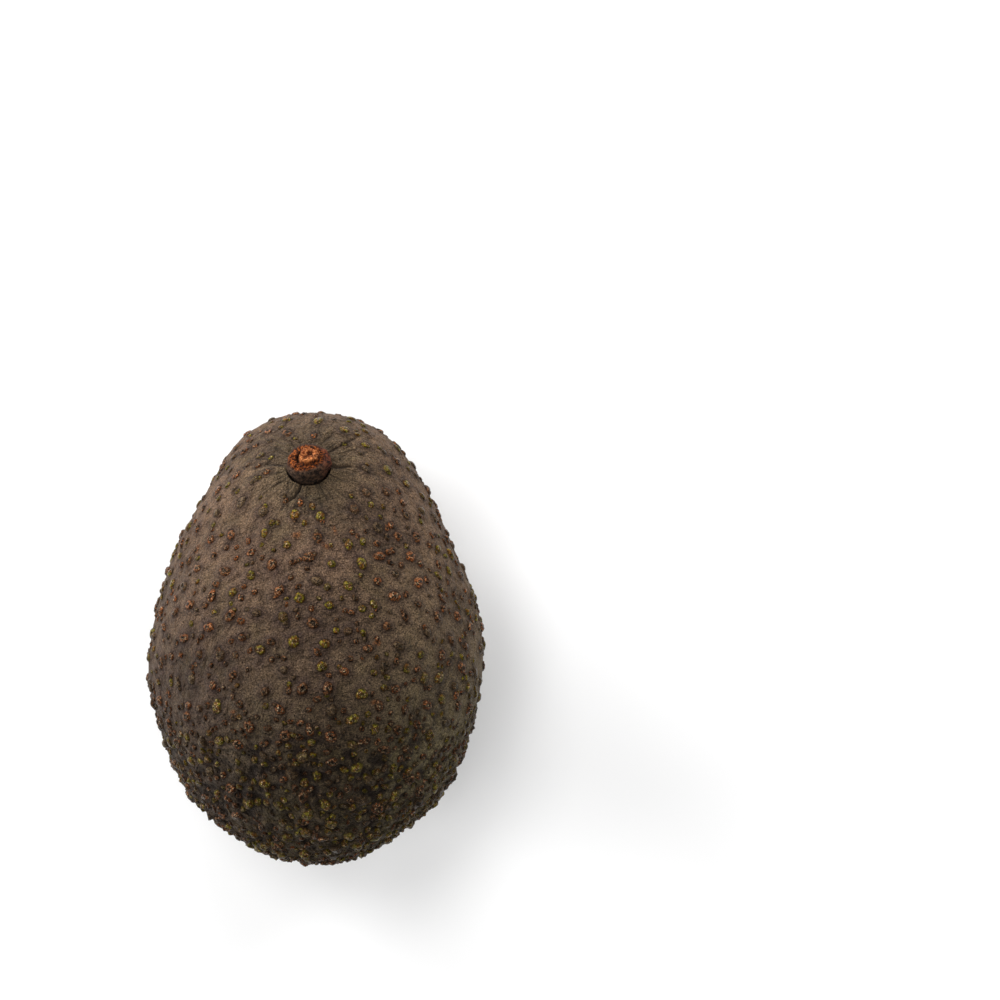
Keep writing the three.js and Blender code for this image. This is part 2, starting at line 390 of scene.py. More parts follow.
def noise_over(points, size, seed):
    """Smooth noise from about -1 to 1, with lumps of a size in millimetres."""
    places = points / size + seed * np.array([7.3, 3.1, 5.7])
    return np.array([noise.noise(place) for place in places.tolist()])


def layer(points, height, size, seed):
    """One layer of noise, of a height in millimetres or as a share."""
    return height * noise_over(points, size, seed)


def box_net(cuts):
    """A cube from -1 to 1 whose faces are grids of quads."""
    net = bmesh.new()
    bmesh.ops.create_cube(net, size=2)
    for axis, count in enumerate(cuts):
        along = [e for e in net.edges if abs(e.verts[0].co[axis] - e.verts[1].co[axis]) > 1]
        bmesh.ops.subdivide_edges(net, edges=along, cuts=count - 1, use_grid_fill=True)
    return net


def mesh_from(net, name):
    """A new mesh with the net in it."""
    mesh = bpy.data.meshes.new(name)
    net.to_mesh(mesh)
    net.free()
    return mesh


def mesh_points(mesh):
    flat = np.empty(3 * len(mesh.vertices))
    mesh.vertices.foreach_get("co", flat)
    return flat.reshape(-1, 3)


def tree_of(points):
    tree = kdtree.KDTree(len(points))
    for i, point in enumerate(points.tolist()):
        tree.insert(point, i)
    tree.balance()
    return tree


def within(tree, point, reach):
    return np.array([i for _, i, _ in tree.find_range(point, reach)], dtype=int)


# How the net's points are gathered where the skin has its finest shapes
STEM_GATHER_REACH = 30
STEM_GATHER = 1.22
RIM_FROM = (0, 2.0, 4.3, 9.0)
RIM_TO = (0, 4.3, 5.0, 9.0)
CRACK_GATHER_REACH = 1.5
CRACK_GATHER = 1.5


def gather_round_stem(points):
    """Draws the net in towards the stem, with the most points on the wall of its socket."""
    radius, angle = round_stem(points)
    inside = radius < STEM_GATHER_REACH
    near = radius[inside] / STEM_GATHER_REACH
    gathered = STEM_GATHER_REACH * near**STEM_GATHER
    gathered = np.where(gathered < RIM_FROM[-1], np.interp(gathered, RIM_FROM, RIM_TO), gathered)
    along = (points[inside] - STEM_FOOT) @ STEM_AXIS
    across = np.outer(gathered * np.cos(angle[inside]), STEM_SIDE)
    across += np.outer(gathered * np.sin(angle[inside]), STEM_ACROSS)
    points[inside] = STEM_FOOT + np.outer(along, STEM_AXIS) + across
    return body_points(directions_of(points))


def gather_on_line(points, line):
    """Draws the net in towards a line over the skin, straight across it."""
    for start, end in zip(line, line[1:]):
        way = end - start
        share = np.clip((points - start) @ way / (way @ way), 0, 1)
        offset = points - (start + np.outer(share, way))
        away = np.linalg.norm(offset, axis=1)
        near = (away < CRACK_GATHER_REACH) & (share > 0) & (share < 1)
        pull = (away[near] / CRACK_GATHER_REACH) ** (CRACK_GATHER - 1)
        points[near] -= offset[near] * (1 - pull)[:, None]
    return body_points(directions_of(points))


def distance_to_line(points, line):
    """Distance from a line over the skin, and the share of the way along it."""
    lengths = [np.linalg.norm(end - start) for start, end in zip(line, line[1:])]
    nearest = np.full(len(points), np.inf)
    along = np.zeros(len(points))
    for i, (start, end) in enumerate(zip(line, line[1:])):
        way = end - start
        share = np.clip((points - start) @ way / (way @ way), 0, 1)
        away = np.linalg.norm(points - start - np.outer(share, way), axis=1)
        closer = away < nearest
        nearest[closer] = away[closer]
        along[closer] = (sum(lengths[:i]) + share[closer] * lengths[i]) / sum(lengths)
    return nearest, along


def crack_relief(points, lines):
    """Depth of the cracks, and the painted shade in their insides."""
    depth = np.zeros(len(points))
    dark = np.zeros(len(points))
    wander = layer(points, CRACK_WANDER, 0.9, 5)
    for line, deepest in zip(lines, CRACK_DEPTH):
        away, along = distance_to_line(points, line)
        fade = smooth(along, 1, CRACK_FADES_FROM)
        groove = bell(away + wander, CRACK_WIDTH * (0.5 + 0.5 * fade)) * fade
        bank = bell(away - BANK_AWAY, BANK_WIDTH) * fade
        depth += deepest * (BANK_HEIGHT * bank - groove)
        dark = np.maximum(dark, groove)
    return depth, dark


def fold_relief(points):
    """Folds that run out from the stem, as the solid has them, with finer ones between."""
    radius, angle = round_stem(points)
    near = radius < FINE_FOLD_REACH[1] + 2
    r, a = radius[near], angle[near]
    draw = draws_from(FOLD_SEED)
    depth = np.zeros(len(r))
    folds = []
    for i in range(MAIN_FOLDS):
        folds.append((2 * math.pi * i / MAIN_FOLDS, MAIN_FOLD_REACH, MAIN_FOLD_DEPTH, MAIN_FOLD_WIDTH))
    for _ in range(FINE_FOLDS):
        deep = between(FINE_FOLD_DEPTH, next(draw))
        folds.append((2 * math.pi * next(draw), FINE_FOLD_REACH, deep, FINE_FOLD_WIDTH))
    for middle, reach, deep, width in folds:
        curl = FOLD_CURL * (next(draw) - 0.5)
        end = between(reach, next(draw))
        turned = a - middle - curl * (r - SOCKET_RIM)
        across = r * np.sin(turned)
        ahead = np.cos(turned) > 0
        groove = bell(across, width * (FOLD_START + r / FOLD_WIDENING))
        depth -= deep * groove * ahead * smooth(r, end, FOLD_FADE * end)
    relief = np.zeros(len(points))
    relief[near] = depth
    return relief


def scar_relief(points):
    away = np.linalg.norm(points - SCAR, axis=1)
    return np.interp(away, SCAR_REACH, SCAR_RISE)


def calm(points):
    """1 on the free skin, dying away to 0 at the flat spot."""
    return smooth(points[:, 2], 0, CALM_ABOVE_FLOOR)


def ground_relief(points):
    """The skin's own ups and downs, without its pebbles."""
    radius, _ = round_stem(points)
    rugged = smooth(points[:, 1], *RUGGED_ZONE)
    bare = smooth(radius, *BARE_ZONE)
    lumps = layer(points, *BROAD_LUMPS) + (1 + bare) * layer(points, *LUMPS)
    lumps += bare * (layer(points @ SLANT, *SLANTED_LUMPS) + layer(points, *SMALL_LUMPS))
    grain = layer(points, *GRAIN) + rugged * layer(points, *RUGGED_GRAIN)
    ridge_height, ridge_size, ridge_seed = RIDGES
    ridges = ridge_height * rugged * (0.5 - 2 * np.abs(noise_over(points, ridge_size, ridge_seed)))
    pucker = -PUCKER_DEPTH * bell(radius, PUCKER_RADIUS)
    lip = LIP_HEIGHT * bell(np.maximum(radius - SOCKET_RIM, 0), LIP_WIDTH)
    return swell_at(points) + pucker + lip + lumps + ridges + grain


class Pebbles:
    """Every pebble of the skin: its middle, radius, rise, stretch, turn and colour."""

    def __init__(self):
        large = throw_pebbles(
            PEBBLE_SEED, PEBBLE_DARTS, PEBBLE_SPACING, BARE_ROUND_STEM, np.empty((0, 3))
        )
        fine = throw_pebbles(FINE_SEED, FINE_DARTS, FINE_SPACING, FINE_ROUND_STEM, large[0])
        fine = self.thin_out(fine)
        self.centres = np.vstack([large[0], fine[0]])
        self.size = np.concatenate([large[1], fine[1]])
        self.turned = np.concatenate([large[2], fine[2]])
        self.large = np.arange(len(self.centres)) < len(large[0])
        self.add_twins()
        self.measure()

    def thin_out(self, fine):
        """Leaves the small pebbles in loose clusters, most of them at the blossom end."""
        centres, size, turned = fine
        share = 0.62 + layer(centres, 0.8, CLUSTER_SIZE, 12)
        share += 0.4 * smooth(centres[:, 1], *CROWDED_ZONE)
        kept = drawn_again(turned, 271) < share
        return centres[kept], size[kept], turned[kept]

    def add_twins(self):
        """Some pebbles have a smaller one grown against them."""
        chosen = drawn_again(self.turned, 89) < TWIN_SHARE
        side, across = tangents(body_normals(directions_of(self.centres[chosen])))
        angle = 2 * math.pi * self.turned[chosen, None]
        shift = TWIN_AWAY * (np.cos(angle) * side + np.sin(angle) * across)
        twins = body_points(directions_of(self.centres[chosen] + shift))
        self.centres = np.vstack([self.centres, twins])
        self.size = np.concatenate([self.size, self.size[chosen] * TWIN_SIZE])
        self.turned = np.concatenate([self.turned, drawn_again(self.turned[chosen], 31)])
        self.large = np.concatenate([self.large, np.zeros(chosen.sum(), bool)])

    def measure(self):
        """Sizes and colours, from each pebble's draws and its place on the fruit."""
        stem_radius, stem_angle = round_stem(self.centres)
        faint = smooth(stem_radius, *FAINT_ZONE)
        crowded = smooth(self.centres[:, 1], *CROWDED_ZONE)
        lot = drawn_again(self.turned, 57)
        self.radius = self.by_kind(LARGE_RADIUS, SMALL_RADIUS) * (1 + 0.12 * crowded)
        self.rise = self.by_kind(LARGE_RISE, SMALL_RISE) * (1 - 0.45 * faint) * (1 + 0.2 * crowded)
        self.skirt = np.where(self.large, LARGE_SKIRT, SMALL_SKIRT) * (1 - 0.3 * faint)
        self.skirt *= 1 + 1.6 * crowded
        self.stretch = between((1, LONGEST_STRETCH), drawn_again(lot, 13))

        olive_share = 0.34 + layer(self.centres, 0.5, 11, 8) + 0.3 * faint + 0.25 * crowded
        self.olive = (lot < np.clip(olive_share, *OLIVE_SHARE)).astype(float)
        self.bright = drawn_again(self.turned, 173)
        self.crusty = (1 - 0.8 * self.olive) * (1 - 0.5 * faint)
        self.pit = np.where(drawn_again(lot, 7) < PITTED_SHARE, 1.0, FAINT_PIT)
        self.pit *= smooth(self.radius, 0.35, 0.7) * (1 - 0.7 * self.olive)

        normals = body_normals(directions_of(self.centres))
        side, across = tangents(normals)
        turn = np.where(stem_radius < TURNED_BY_STEM, stem_angle, 2 * math.pi * self.turned)[:, None]
        self.long_way = np.cos(turn) * side + np.sin(turn) * across
        self.short_way = np.cross(normals, self.long_way)

    def by_kind(self, large, small):
        """A size of every pebble, between the two given for its kind."""
        return np.where(self.large, between(large, self.size), between(small, self.size))


# The skin round a pebble, at distances in the pebble's radii
PEBBLE_REACH = 3.0  # where its skirt has died away
SKIRT_WIDTH = 1.7
MOAT_AWAY = 1.25
MOAT_WIDTH = 0.25
MOAT_DEPTH = 0.06  # in millimetres
# The halo is painted shade round a pebble, and also a bump
HALO_ZONE = (2.9, 1.0)
# The foot zone bounds the painted shade at a pebble's foot
FOOT_ZONE = (1.9, 1.5)


def skirt_relief(points, pebbles):
    """Swelling of the skin round each pebble, where each point lies from the nearest one, and its halo,
    which gives painted shade and a small bump round the pebbles.
    """
    skirt = np.zeros(len(points))
    nearest = np.full(len(points), PEBBLE_REACH)
    place = np.zeros((len(points), 3))
    halo = np.zeros(len(points))
    tree = tree_of(points)
    for i, centre in enumerate(pebbles.centres):
        radius, stretch = pebbles.radius[i], math.sqrt(pebbles.stretch[i])
        near = within(tree, centre, PEBBLE_REACH * radius * stretch**2)
        if len(near) == 0:
            continue
        offset = points[near] - centre
        along = offset @ pebbles.long_way[i] / stretch / radius
        beside = offset @ pebbles.short_way[i] * stretch / radius
        spot = np.hypot(along, beside)
        swell = pebbles.skirt[i] * bell(spot, SKIRT_WIDTH)
        moat = MOAT_DEPTH * bell(spot - MOAT_AWAY, MOAT_WIDTH)
        skirt[near] = np.maximum(skirt[near], swell) - moat
        halo[near] = np.maximum(halo[near], smooth(spot, *HALO_ZONE) * min(radius, 1))
        nearer = spot < nearest[near]
        closer = near[nearer]
        nearest[closer] = spot[nearer]
        place[closer, 0] = along[nearer]
        place[closer, 1] = beside[nearer]
        place[closer, 2] = smooth(spot[nearer], *FOOT_ZONE)
    return skirt, place, halo


def skin_height(base, pebbles, cracks):
    """Height of the skin over the smooth body, and what its material needs to know."""
    skirt, place, halo = skirt_relief(base, pebbles)
    crack_depth, crack_shade = crack_relief(base, cracks)
    folds = fold_relief(base)
    scabs = scab_marks(base)
    ground = ground_relief(base) + crack_depth + folds + SCAB_HEIGHT * scabs
    facts = {
        "pebble": place,
        # halo: painted shade round the pebbles, also a bump
        "halo": halo,
        # Painted shade in the cracks and folds
        "crease_shade": np.clip(np.maximum(crack_shade, -folds / FOLD_FULL_SHADE_DEPTH), 0, 1),
        "scab": scabs,
        "height": ground + skirt,
    }
    return calm(base) * (ground + skirt) + scar_relief(base), facts


def sink_socket(points, base):
    """Lowers the skin inside the socket's rim to the socket's floor."""
    radius, _ = round_stem(base)
    inside = smooth(radius, SOCKET_RIM, SOCKET_FLOOR)[:, None]
    level = -PUCKER_DEPTH - SOCKET_DEPTH
    along = (base - STEM_FOOT) @ STEM_AXIS
    floor = base + np.outer(level - along, STEM_AXIS)
    return points * (1 - inside) + floor * inside, inside[:, 0]


def scab_marks(points):
    """How much of a corky scab lies at each point."""
    mark = np.zeros(len(points))
    ragged = 1 + layer(points, SCAB_RAGGED, 0.8, 11)
    for pixel, half_length, half_width, degrees in SCABS:
        offset = points - seen_at(pixel)
        turn = math.radians(degrees)
        along = offset[:, 0] * math.cos(turn) + offset[:, 1] * math.sin(turn)
        beside = offset[:, 1] * math.cos(turn) - offset[:, 0] * math.sin(turn)
        away = np.hypot(along / half_length, beside / half_width) * ragged
        away += np.abs(offset[:, 2]) / SCAB_UP
        mark = np.maximum(mark, smooth(away, *SCAB_EDGE))
    return mark


def add_fact(mesh, name, values):
    kind, field = ("FLOAT", "value") if values.ndim == 1 else ("FLOAT_VECTOR", "vector")
    data = mesh.attributes.new(name, kind, "POINT").data
    data.foreach_set(field, values.astype(np.float32).ravel())


def shape(mesh, points, facts):
    """Moves a mesh's points to their places, and gives it its facts and smooth shading."""
    mesh.vertices.foreach_set("co", (points * MM).ravel())
    for name, values in facts.items():
        add_fact(mesh, name, values)
    mesh.shade_smooth()
    mesh.update()


def show(mesh, name):
    piece = bpy.data.objects.new(name, mesh)
    bpy.context.scene.collection.objects.link(piece)
    return piece


def make_skin(pebbles, cracks):
    """The whole skin: a box's net drawn over the body, gathered where it is finest, then raised."""
    mesh = mesh_from(box_net(NET), "skin")
    base = gather_round_stem(body_points(unit(np.tan(mesh_points(mesh) * math.pi / 4))))
    for line in cracks:
        base = gather_on_line(base, line)
    height, facts = skin_height(base, pebbles, cracks)
    normals = body_normals(directions_of(base))
    # The socket fact marks where painted shade fills the socket
    points, facts["socket"] = sink_socket(base + normals * height[:, None], base)
    points[:, 2] = np.maximum(points[:, 2], 0)
    facts["scar"] = smooth(np.linalg.norm(base - SCAR, axis=1), *SCAR_STAIN)
    shape(mesh, points, facts)
    return show(mesh, "avocado_skin")


# A pebble's own mesh: its rings' distances from its middle, in radii, and the sides round it
LARGE_RINGS = (0.28, 0.55, 0.8, 1.0)
LARGE_SIDES = 12
SMALL_RINGS = (0.35, 0.7, 1.0)
SMALL_SIDES = 10
FOOT_RING = 1.08
FOOT_DEPTH = 0.25  # of a pebble's foot under the skin, in millimetres
OUTLINE_WOBBLE = 0.22
OUTLINE_APART = 40  # how far apart in the noise the outlines are taken from
KNOB_HEIGHT = 0.5  # this and the pit's depth are shares of a pebble's rise
PIT_DEPTH = 0.55
PIT_WIDTH = 0.36  # in radii


def pebble_net(rings, sides, count):
    """Closed discs, one for each pebble: tops at level 0 and feet at -1."""
    profile = [(0, 0)] + [(ring, 0) for ring in rings] + [(FOOT_RING, -1), (0, -1)]
    disc = mesh_from(turned(profile, sides), "pebble")
    net = bmesh.new()
    for _ in range(count):
        net.from_mesh(disc)
    bpy.data.meshes.remove(disc)
    return net


def pebble_cap(pebbles, chosen, spot, base):
    """Height of the pebbles' tops over the skin round them: steep sides, a knobbly rim and a pit."""
    rise, pit, crusty = (fact[chosen, None] for fact in (pebbles.rise, pebbles.pit, pebbles.crusty))
    knobs = layer(base, KNOB_HEIGHT, 0.62, 9).reshape(spot.shape)
    dome = np.clip(1 - spot**3, 0, 1) ** 0.8
    hollow = PIT_DEPTH * pit * bell(spot, PIT_WIDTH)
    return rise * (dome - hollow + crusty * knobs * smooth(spot, 1.0, 0.75))


def make_pebbles(name, pebbles, chosen, rings, sides, cracks):
    """Pebbles as closed domes with ragged outlines, their feet sunk in the skin."""
    mesh = mesh_from(pebble_net(rings, sides, len(chosen)), name)
    disc = mesh_points(mesh).reshape(len(chosen), -1, 3)
    spot = np.hypot(disc[..., 0], disc[..., 1])
    angle = np.arctan2(disc[..., 1], disc[..., 0])
    lot = np.broadcast_to(OUTLINE_APART * pebbles.turned[chosen, None], spot.shape)
    ring = np.stack([np.cos(angle), np.sin(angle), lot], axis=-1)
    wobble = 1 + layer(ring.reshape(-1, 3), OUTLINE_WOBBLE, 0.8, 31).reshape(spot.shape)
    reach = spot * wobble * pebbles.radius[chosen, None]
    stretch = np.sqrt(pebbles.stretch[chosen, None])
    flat = pebbles.centres[chosen, None, :]
    flat = flat + (reach * np.cos(angle) * stretch)[..., None] * pebbles.long_way[chosen, None, :]
    flat = flat + (reach * np.sin(angle) / stretch)[..., None] * pebbles.short_way[chosen, None, :]
    base = body_points(directions_of(flat.reshape(-1, 3)))
    height, _ = skin_height(base, pebbles, cracks)
    cap = np.where(disc[..., 2] < -0.5, -FOOT_DEPTH, pebble_cap(pebbles, chosen, spot, base))
    normals = body_normals(directions_of(base))
    facts = {"pebble": disc.reshape(-1, 3)}
    for fact in ("olive", "bright", "pit"):
        values = getattr(pebbles, fact)[chosen, None]
        facts[fact] = np.broadcast_to(values, spot.shape).ravel()
    shape(mesh, base + normals * (height + cap.ravel())[:, None], facts)
    return show(mesh, name)


# Stem button in its own frame: distance from its axis and height over the socket's rim
STEM_PROFILE = (
    (0, -1.7),
    (3.7, -1.7),
    (4.0, -0.5),
    (4.3, 0.4),
    (4.52, 1.3),
    (4.5, 2.1),
    (4.25, 2.8),
    (3.8, 3.2),
    (3.2, 3.35),
    (2.6, 3.25),
    (2.3, 3.55),
    (2.1, 4.0),
    (1.7, 4.2),
    (1.1, 4.05),
    (0.5, 3.85),
    (0, 3.8),
)
STEM_STEP = 0.09  # between rings along the profile
STEM_SIDES = 180
PROFILE_ROUNDS = 6  # of smoothing over its corners
MERGE_DISTANCE = 1e-4

# Bark: shares of the radius, waves round it, turns, and twists for each millimetre of height
BARK_BULGES = ((0.05, 2, 0.8, 0), (0.035, 3, 2.0, 0), (0.02, 7, 1.0, 1))
DENT_DEPTH = 0.05  # as a share of the radius
DENT_TURN = -1.0
DENT_WIDTH = 0.5
BARK_LUMPS = (0.12, 1.6, 21)
BARK_GRAIN = (0.1, 0.7, 22)
BARK_SQUEEZE = np.array([1, 1, 2.2])  # makes the lumps lower than they are wide
BARK_HEIGHT = (-0.6, 1.5)  # over which the bark comes free of the socket

# Torn top: the radius and height where it starts, its fibres and shreds
TORN_RADIUS = 3.55
TORN_LOPSIDED = 0.45
TORN_TURN = math.radians(200)
TORN_RAGGED = 0.35
TORN_EDGE = 0.35
TORN_HEIGHT = (1.9, 2.8)
FIBRE_STRETCH = np.array([1, 1, 0.5])
FIBRE_HEIGHT = 0.16
SHRED_HEIGHT = 0.22
SHRED_SIZE = 0.85

# Pale core in the torn top, with a slit and a groove round it, a raised crescent and a hollow
CORE_RADIUS = 2.15
CORE_HEIGHT = (3.6, 3.95)
SLIT = (math.radians(142), math.radians(218))  # from one end round to the other
SLIT_DEPTH = 1.4
SLIT_WIDTH = 0.28
GROOVE_AWAY = 0.12  # outside the core
GROOVE_DEPTH = 0.3
GROOVE_WIDTH = 0.14
CRESCENT_TURN = -math.pi / 2
CRESCENT_HEIGHT = 0.28
HOLLOW_PLACE = (0.35, 0.75)
HOLLOW_WIDTH = 0.5
HOLLOW_DEPTH = 0.75
TRAIL_WIDTH = 0.28
TRAIL_DEPTH = 0.6  # as a share of the hollow's
RED_TURN = 0.2  # middle and width of the bark's red side
RED_WIDTH = 0.7


def finely(profile, step):
    """The profile with points a step apart, on a smooth curve through its corners."""
    corners = np.array(profile, float)
    lengths = np.linalg.norm(np.diff(corners, axis=0), axis=1)
    at = np.concatenate([[0], np.cumsum(lengths)])
    where = np.linspace(0, at[-1], int(at[-1] / step))
    fine = np.stack([np.interp(where, at, corners[:, 0]), np.interp(where, at, corners[:, 1])], 1)
    for _ in range(PROFILE_ROUNDS):
        fine[1:-1] = (fine[:-2] + 2 * fine[1:-1] + fine[2:]) / 4
    return fine


def turned(profile, sides):
    """A closed body turned from a profile that starts and ends on the z axis."""
    net = bmesh.new()
    verts = [net.verts.new((radius, 0, height)) for radius, height in profile]
    edges = [net.edges.new(pair) for pair in zip(verts, verts[1:])]
    bmesh.ops.spin(
        net,
        geom=verts + edges,
        cent=(0, 0, 0),
        axis=(0, 0, 1),
        angle=2 * math.pi,
        steps=sides,
        use_merge=True,
    )
    bmesh.ops.remove_doubles(net, verts=net.verts, dist=MERGE_DISTANCE)
    bmesh.ops.recalc_face_normals(net, faces=net.faces)
    return net


def bark_relief(points, radius, angle):
    """How far the bark stands out from the profile."""
    height = points[:, 2]
    bulge = -DENT_DEPTH * bell(angle - DENT_TURN, DENT_WIDTH)
    for share, waves, turn, twist in BARK_BULGES:
        bulge += share * np.sin(waves * angle + turn + twist * height)
    ripple = points * BARK_SQUEEZE
    rough = layer(ripple, *BARK_LUMPS) + layer(ripple, *BARK_GRAIN)
    return smooth(height, *BARK_HEIGHT) * (radius * bulge + rough * smooth(radius, 0.5, 3))


def hollow_in_core(points, fibres, core):
    """The core's hollow, with a narrow trail that runs from it between the fibres."""
    x, y = points[:, 0], points[:, 1]
    hollow = bell(np.hypot(x - HOLLOW_PLACE[0], y - HOLLOW_PLACE[1]), HOLLOW_WIDTH)
    trail = bell(x - 0.9 * y + 0.35, TRAIL_WIDTH) * core * (fibres > 0.1) * (y < 0.7)
    return np.maximum(hollow, TRAIL_DEPTH * trail)


def slit_round_core(radius, angle):
    """The slit beside the core, and the shallow groove that goes on from it."""
    turn = angle % (2 * math.pi)
    span = smooth(turn, SLIT[0] - 0.15, SLIT[0] + 0.15) * smooth(turn, SLIT[1] + 0.2, SLIT[1] - 0.2)
    slit = bell(radius - CORE_RADIUS, SLIT_WIDTH) * span
    groove = bell(radius - CORE_RADIUS - GROOVE_AWAY, GROOVE_WIDTH) * (1 - span)
    return slit, groove


def stem_relief(points):
    """The stem button's torn top and bulging bark, and what its material needs to know."""
    radius = np.hypot(points[:, 0], points[:, 1])
    angle = np.arctan2(points[:, 1], points[:, 0])
    way = np.stack([np.cos(angle), np.sin(angle), np.zeros(len(points))], axis=1)

    edge = TORN_RADIUS + TORN_LOPSIDED * np.cos(angle - TORN_TURN) + layer(way * 4, TORN_RAGGED, 1.3, 23)
    torn = smooth(radius, edge + TORN_EDGE, edge - TORN_EDGE) * smooth(points[:, 2], *TORN_HEIGHT)
    fibres = noise_over(points * FIBRE_STRETCH, 0.34, 24)
    up = torn * (FIBRE_HEIGHT * fibres + layer(points, SHRED_HEIGHT, SHRED_SIZE, 25))
    up += torn * smooth(radius, CORE_RADIUS, CORE_RADIUS + 0.5) * layer(way * 4, 0.3, 0.7, 26)

    core = smooth(radius, CORE_RADIUS + 0.1, CORE_RADIUS - 0.25)
    low_side = bell(angle - CRESCENT_TURN, 1.0)
    hollow = hollow_in_core(points, fibres, core)
    slit, groove = slit_round_core(radius, angle)
    up += core * (CRESCENT_HEIGHT * low_side * smooth(radius, 0.9, 1.8) - HOLLOW_DEPTH * hollow)
    up -= SLIT_DEPTH * slit + GROOVE_DEPTH * groove * torn

    moved = points + way * bark_relief(points, radius, angle)[:, None]
    moved[:, 2] += up
    core *= torn * smooth(points[:, 2], *CORE_HEIGHT)
    facts = {
        "torn": torn,
        "core": core,
        # Painted shade in the slit, the hollow and the groove
        "dark": np.clip(slit + 0.8 * hollow + 0.55 * groove * torn, 0, 1),
        "shred": fibres + core * low_side * smooth(radius, 1.2, 1.7),
        "red": bell(angle - RED_TURN, RED_WIDTH),
    }
    return moved, facts


def make_stem_button():
    """The woody stem button, with its foot in the socket."""
    mesh = mesh_from(turned(finely(STEM_PROFILE, STEM_STEP), STEM_SIDES), "stem_button_bark")
    points, facts = stem_relief(mesh_points(mesh))
    foot = STEM_FOOT - PUCKER_DEPTH * STEM_AXIS
    shape(mesh, foot + points @ np.stack([STEM_SIDE, STEM_ACROSS, STEM_AXIS]), facts)
    return show(mesh, "avocado_stem_button")


class Signal:
    """An output of a material's nodes, used in Python expressions."""

    def __init__(self, finish, socket):
        self.finish = finish
        self.socket = socket

    def __add__(self, other):
        return self.finish.math("ADD", self, other)

    def __sub__(self, other):
        return self.finish.math("SUBTRACT", self, other)

    def __rsub__(self, other):
        return self.finish.math("SUBTRACT", other, self)

    def __mul__(self, other):
        if self.socket.type in ("RGBA", "VECTOR"):
            return self.finish.dim(self, other)
        return self.finish.math("MULTIPLY", self, other)

    __radd__ = __add__
    __rmul__ = __mul__


class Finish:
    """A material, with the few ways its nodes are made."""

    def __init__(self, name):
        self.material = bpy.data.materials.new(name)
        self.material.use_nodes = True
        self.tree = self.material.node_tree
        self.shader = self.tree.nodes["Principled BSDF"]

    def node(self, kind, settings, inputs, output=0):
        """One node, its settings made before its inputs are fed, and the output that is asked for."""
        made = self.tree.nodes.new("ShaderNode" + kind)
        for name, value in settings.items():
            setattr(made, name, value)
        for name, value in inputs.items():
            self.feed(made.inputs[name], value)
        return Signal(self, made.outputs[output])

    def feed(self, socket, value):
        """Links a signal to a socket, or sets the socket to a plain value."""
        if isinstance(value, Signal):
            self.tree.links.new(value.socket, socket)
        else:
            socket.default_value = value

    def math(self, operation, *values):
        return self.node("Math", {"operation": operation}, dict(enumerate(values)))

    def dim(self, colour_in, share):
        """A colour multiplied by a number."""
        inputs = {"Vector": colour_in, "Scale": share}
        return self.node("VectorMath", {"operation": "SCALE"}, inputs)

    def place(self):
        """Object coordinates, in metres."""
        return self.node("TexCoord", {}, {}, "Object")

    def parts(self, vector):
        """The three numbers of a vector."""
        return [self.node("SeparateXYZ", {}, {"Vector": vector}, axis) for axis in "XYZ"]

    def fact_vector(self, name):
        return self.node("Attribute", {"attribute_name": name}, {}, "Vector")

    def fact(self, name):
        """A number that the mesh holds at each point."""
        return self.node("Attribute", {"attribute_name": name}, {}, "Fac")

    def step(self, value, start, end):
        """0 at start and 1 at end, smoothly."""
        settings = {"interpolation_type": "SMOOTHSTEP"}
        return self.node("MapRange", settings, {"Value": value, "From Min": start, "From Max": end})

    def zone(self, place, ends):
        """0 at the first and 1 at the second of two places, given in millimetres."""
        return self.step(place, ends[0] * MM, ends[1] * MM)

    def spots(self, size, start, end):
        """Plain noise, cut off into spots."""
        return self.step(self.noise(size, 1), start, end)

    def vector(self, operation, *values):
        return self.node("VectorMath", {"operation": operation}, dict(enumerate(values)))

    def noise(self, size, detail=2.0, roughness=0.5, warp=0.0, where=None):
        """Noise about 0.5, with lumps of a size in millimetres."""
        inputs = {
            "Vector": where or self.place(),
            "Scale": 1 / (size * MM),
            "Detail": detail,
            "Roughness": roughness,
            "Distortion": warp,
        }
        return self.node("TexNoise", {}, inputs, "Fac")

    def mix(self, low, high, share):
        """The first colour where the share is 0, and the second where it is 1."""
        return self.node("Mix", {"data_type": "RGBA"}, {0: share, 6: low, 7: high}, 2)

    def bump(self, height, distance, under=None):
        """A bump of a height in millimetres, over the bump under it."""
        inputs = {"Height": height, "Distance": distance * MM, "Strength": 1.0}
        if under is not None:
            inputs["Normal"] = under
        return self.node("Bump", {}, inputs, "Normal")

    def paint(self, **inputs):
        """Feeds the shader's sockets, and gives the finished material."""
        for name, value in inputs.items():
            self.feed(self.shader.inputs[name.replace("_", " ")], value)
        return self.material


def colour(red, green, blue):
    """A colour as a screen shows it, from 0 to 255, made linear."""
    return tuple(((v / 255 + 0.055) / 1.055) ** 2.4 for v in (red, green, blue)) + (1,)


# Colours of the skin between the pebbles
TAN = (colour(64, 55, 40), colour(99, 78, 61))  # at the blossom end, at the stem end
BROWN = (colour(54, 45, 32), colour(93, 73, 57))
PLUM = colour(46, 34, 34)
OLIVE_GREEN = colour(56, 50, 27)
RIGHT_TINTS = (colour(112, 103, 74), colour(126, 102, 80))  # lower, upper
LEFT_PLUM = colour(52, 40, 40)
PALE_MOTTLE = colour(114, 92, 74)
DARK_MOTTLE = colour(34, 24, 21)
STEM_GREEN = colour(74, 66, 46)
DARK_STREAK = colour(34, 28, 18)
PALE_STREAK = colour(110, 98, 70)
# Painted shade for the skin's low places
VALLEY_SHADE = colour(24, 18, 15)
# Painted light for the tops of the ridges
PAINTED_RIDGE_LIGHT = colour(104, 88, 66)
# Painted shade round the pebbles
HALO_SHADE = colour(46, 33, 32)
# Painted contact shadow at the feet of the pebbles
FOOT_SHADE = colour(28, 19, 17)
